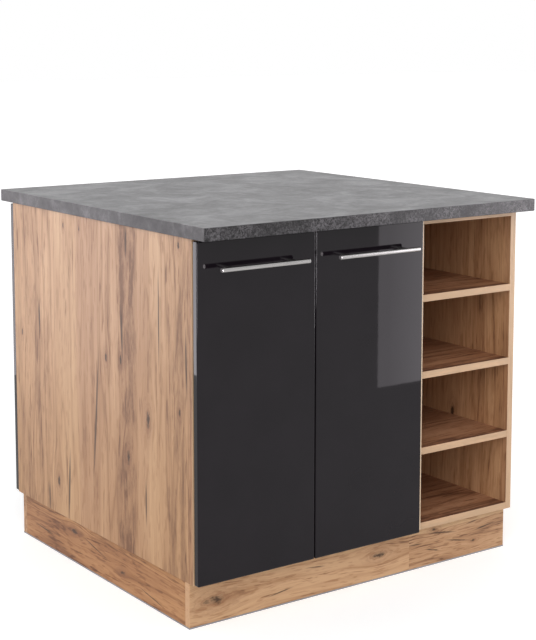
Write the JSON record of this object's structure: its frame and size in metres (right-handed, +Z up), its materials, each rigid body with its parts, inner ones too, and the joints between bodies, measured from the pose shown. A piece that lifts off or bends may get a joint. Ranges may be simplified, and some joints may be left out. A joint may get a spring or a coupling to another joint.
{
  "type": "kitchen island unit",
  "caption": "Free-standing kitchen island block with gloss doors on concealed hinges, open oak shelves, oak sides and plinth, and a stone-look worktop.",
  "frame": {"origin": "on the floor, under the middle of the worktop", "axes": "+Z up, -Y is the front with two doors and the open shelves, +X to the right seen from the front"},
  "size_m": [0.91, 0.91, 0.848],
  "materials": {
    "worktop_laminate": "matt slate-look laminate",
    "oak_board": "oak-look melamine, vertical grain",
    "oak_plinth": "oak-look melamine, horizontal grain",
    "white_board": "pale melamine",
    "back_panel": "thin painted hardboard",
    "gloss_door": "high-gloss anthracite lacquer film on board",
    "handle_steel": "satin",
    "hinge_nickel": "nickel plated",
    "zinc_fastener": "zinc plated",
    "black_plastic": "moulded",
    "clear_bumper": "soft clear bumper"
  },
  "bodies": {
    "carcass": {"worktop": "worktop_laminate", "side_panel_left": "oak_board", "side_panel_right": "oak_board", "partition_left": "white_board", "partition_right": "oak_board", "front_cabinet_bottom": "white_board", "front_cabinet_back": "back_panel", "front_cabinet_rails": "white_board", "front_cabinet_shelf": "white_board", "rear_cabinet_bottom": "white_board", "rear_cabinet_back": "back_panel", "rear_cabinet_rails": "white_board", "rear_cabinet_shelf": "white_board", "rear_narrow_bottom": "white_board", "rear_narrow_back": "back_panel", "rear_narrow_rails": "white_board", "rear_narrow_shelf": "white_board", "open_unit_top": "oak_board", "open_unit_bottom": "oak_board", "open_unit_back": "oak_board", "open_unit_shelves": "oak_board", "shelf_pins": "zinc_fastener", "plinth_front_wide": "oak_plinth", "plinth_front_narrow": "oak_plinth", "plinth_left": "oak_plinth", "plinth_right": "oak_plinth", "plinth_rear": "oak_plinth", "plinth_clips": "black_plastic", "leg_sockets": "black_plastic", "legs": "black_plastic", "hinge_plates": "hinge_nickel", "hinge_arms": "hinge_nickel", "connector_bolts": "zinc_fastener", "worktop_screws": "zinc_fastener", "door_bumpers": "clear_bumper"},
    "front_left_door_body": {"front_left_door": "gloss_door", "front_left_handle": "handle_steel", "front_left_hinge_cups": "hinge_nickel"},
    "front_left_link_body": {"front_left_hinge_links": "hinge_nickel"},
    "front_right_door_body": {"front_right_door": "gloss_door", "front_right_handle": "handle_steel", "front_right_hinge_cups": "hinge_nickel"},
    "front_right_link_body": {"front_right_hinge_links": "hinge_nickel"},
    "rear_outer_door_body": {"rear_outer_door": "gloss_door", "rear_outer_handle": "handle_steel", "rear_outer_hinge_cups": "hinge_nickel"},
    "rear_outer_link_body": {"rear_outer_hinge_links": "hinge_nickel"},
    "rear_inner_door_body": {"rear_inner_door": "gloss_door", "rear_inner_handle": "handle_steel", "rear_inner_hinge_cups": "hinge_nickel"},
    "rear_inner_link_body": {"rear_inner_hinge_links": "hinge_nickel"},
    "rear_single_door_body": {"rear_single_door": "gloss_door", "rear_single_handle": "handle_steel", "rear_single_hinge_cups": "hinge_nickel"},
    "rear_single_link_body": {"rear_single_hinge_links": "hinge_nickel"}
  },
  "joints": [
    {"name": "front_left_door_hinge", "type": "hinge", "parent": "carcass", "child": "front_left_door_body", "pos_m": [-0.4435, -0.4125, 0.46], "axis": [0, 0, -1], "range_deg": [0, 100]},
    {"name": "front_left_hinge_link_pivot", "type": "hinge", "parent": "carcass", "child": "front_left_link_body", "pos_m": [-0.4185, -0.3977, 0.46], "axis": [0, 0, -1], "range_deg": [-28, 0]},
    {"name": "front_right_door_hinge", "type": "hinge", "parent": "carcass", "child": "front_right_door_body", "pos_m": [0.1435, -0.4125, 0.46], "axis": [0, 0, 1], "range_deg": [0, 100]},
    {"name": "front_right_hinge_link_pivot", "type": "hinge", "parent": "carcass", "child": "front_right_link_body", "pos_m": [0.1185, -0.3977, 0.46], "axis": [0, 0, 1], "range_deg": [-28, 0]},
    {"name": "rear_outer_door_hinge", "type": "hinge", "parent": "carcass", "child": "rear_outer_door_body", "pos_m": [-0.4435, 0.4125, 0.46], "axis": [0, 0, 1], "range_deg": [0, 100]},
    {"name": "rear_outer_hinge_link_pivot", "type": "hinge", "parent": "carcass", "child": "rear_outer_link_body", "pos_m": [-0.4185, 0.3977, 0.46], "axis": [0, 0, 1], "range_deg": [-28, 0]},
    {"name": "rear_inner_door_hinge", "type": "hinge", "parent": "carcass", "child": "rear_inner_door_body", "pos_m": [0.1435, 0.4125, 0.46], "axis": [0, 0, -1], "range_deg": [0, 90]},
    {"name": "rear_inner_hinge_link_pivot", "type": "hinge", "parent": "carcass", "child": "rear_inner_link_body", "pos_m": [0.1185, 0.3977, 0.46], "axis": [0, 0, -1], "range_deg": [-25.2, 0]},
    {"name": "rear_single_door_hinge", "type": "hinge", "parent": "carcass", "child": "rear_single_door_body", "pos_m": [0.4435, 0.4125, 0.46], "axis": [0, 0, -1], "range_deg": [0, 100]},
    {"name": "rear_single_hinge_link_pivot", "type": "hinge", "parent": "carcass", "child": "rear_single_link_body", "pos_m": [0.4185, 0.3977, 0.46], "axis": [0, 0, -1], "range_deg": [-28, 0]}
  ],
  "couplings": [
    {"joint": "front_left_hinge_link_pivot", "follows": "front_left_door_hinge", "ratio": -0.28},
    {"joint": "front_right_hinge_link_pivot", "follows": "front_right_door_hinge", "ratio": -0.28},
    {"joint": "rear_outer_hinge_link_pivot", "follows": "rear_outer_door_hinge", "ratio": -0.28},
    {"joint": "rear_inner_hinge_link_pivot", "follows": "rear_inner_door_hinge", "ratio": -0.28},
    {"joint": "rear_single_hinge_link_pivot", "follows": "rear_single_door_hinge", "ratio": -0.28}
  ]
}
